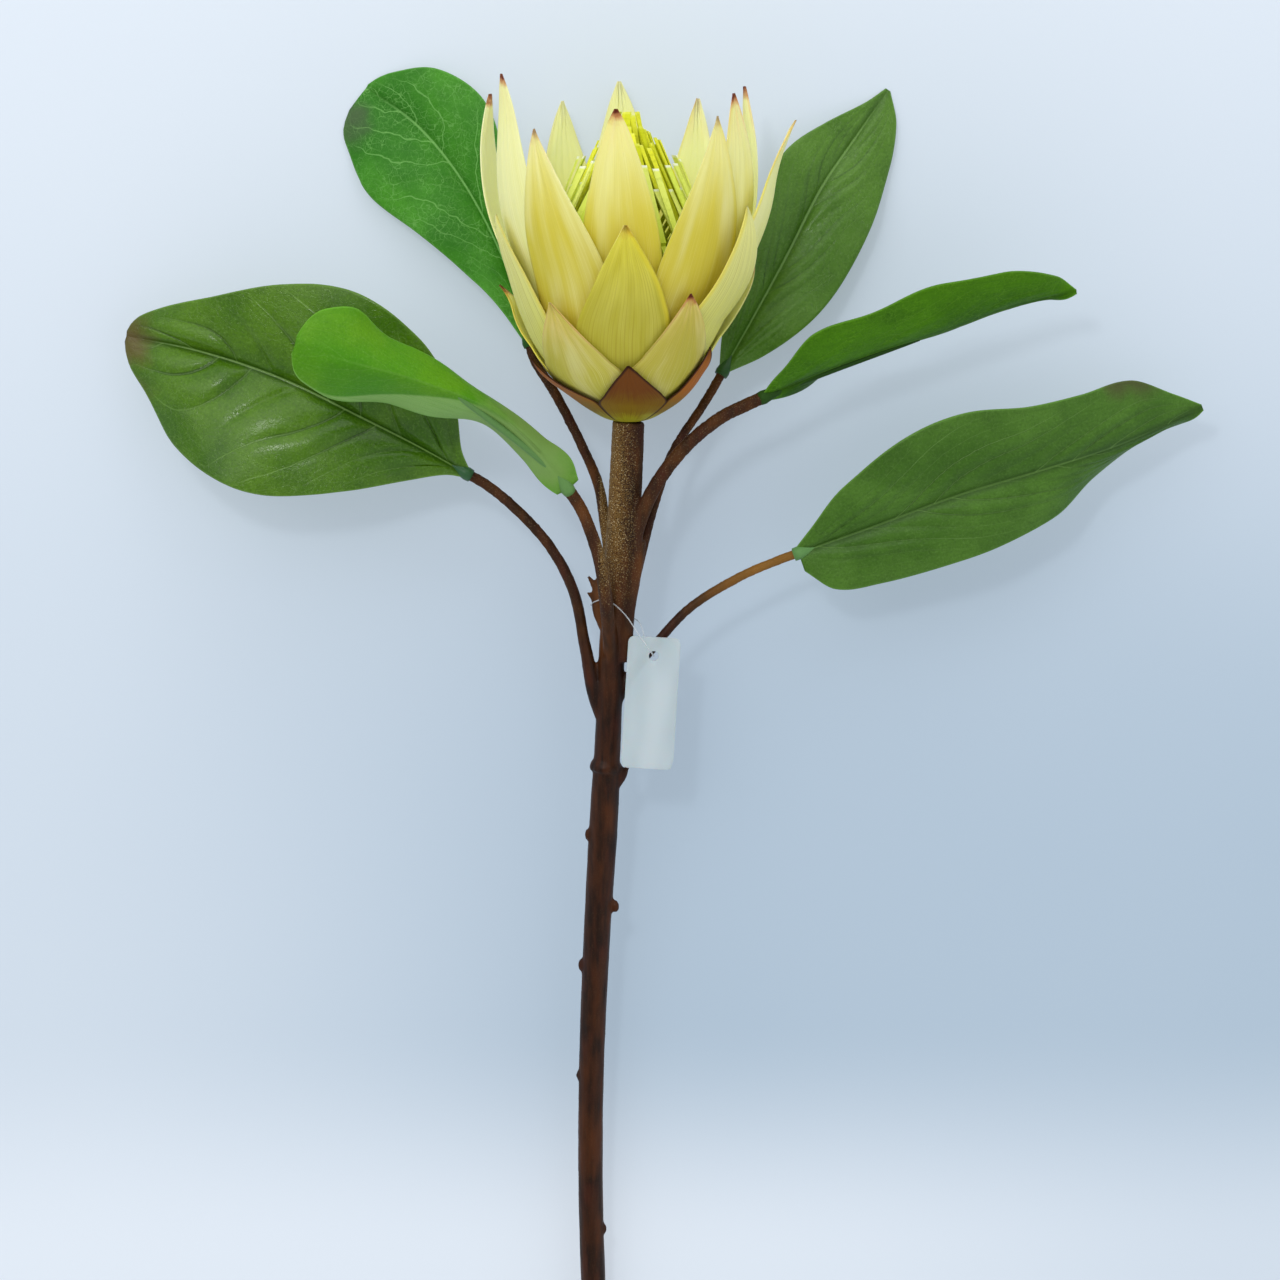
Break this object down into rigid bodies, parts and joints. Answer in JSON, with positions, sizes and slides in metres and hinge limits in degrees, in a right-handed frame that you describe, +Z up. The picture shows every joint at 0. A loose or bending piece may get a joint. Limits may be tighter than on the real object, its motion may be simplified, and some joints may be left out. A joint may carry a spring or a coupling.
{
  "type": "artificial protea flower stem",
  "caption": "Artificial protea stem lying on its side: a cup-shaped bloom of pale yellow petals on a brown stem, with broad green leaves on bent twigs and a blank hang tag.",
  "frame": {"origin": "on the surface that the stem lies on, under the middle of its bounding box", "axes": "+Y along the stem from the cut end to the bloom, +Z up from the surface, +X to the right seen from above with the bloom away"},
  "size_m": [0.3426, 0.522, 0.0844],
  "materials": {
    "bark": "brown moulded bark, speckled tan near the bloom",
    "leaf": "satin green with pressed veins",
    "bract": "matt brown fading to olive, dark edges",
    "petal": "matt pale yellow with fine lengthwise lines and red-brown tips",
    "stamen_pale": "matt pale green with white cut ends",
    "stamen_olive": "matt olive yellow",
    "tag": "milky translucent film, blank",
    "thread": "clear fine loop"
  },
  "bodies": {
    "root": {"stem": "bark", "leaf_back_left": "leaf", "leaf_left": "leaf", "leaf_front_left": "leaf", "leaf_back_right": "leaf", "leaf_upper_right": "leaf", "leaf_lower_right": "leaf", "bracts": "bract", "petals_lower": "petal", "petals_middle": "petal", "petals_outer": "petal", "petals_inner": "petal", "stamens_outer": "stamen_pale", "stamens_inner": "stamen_olive", "hang_tag": "tag", "tag_loop": "thread"}
  },
  "joints": []
}
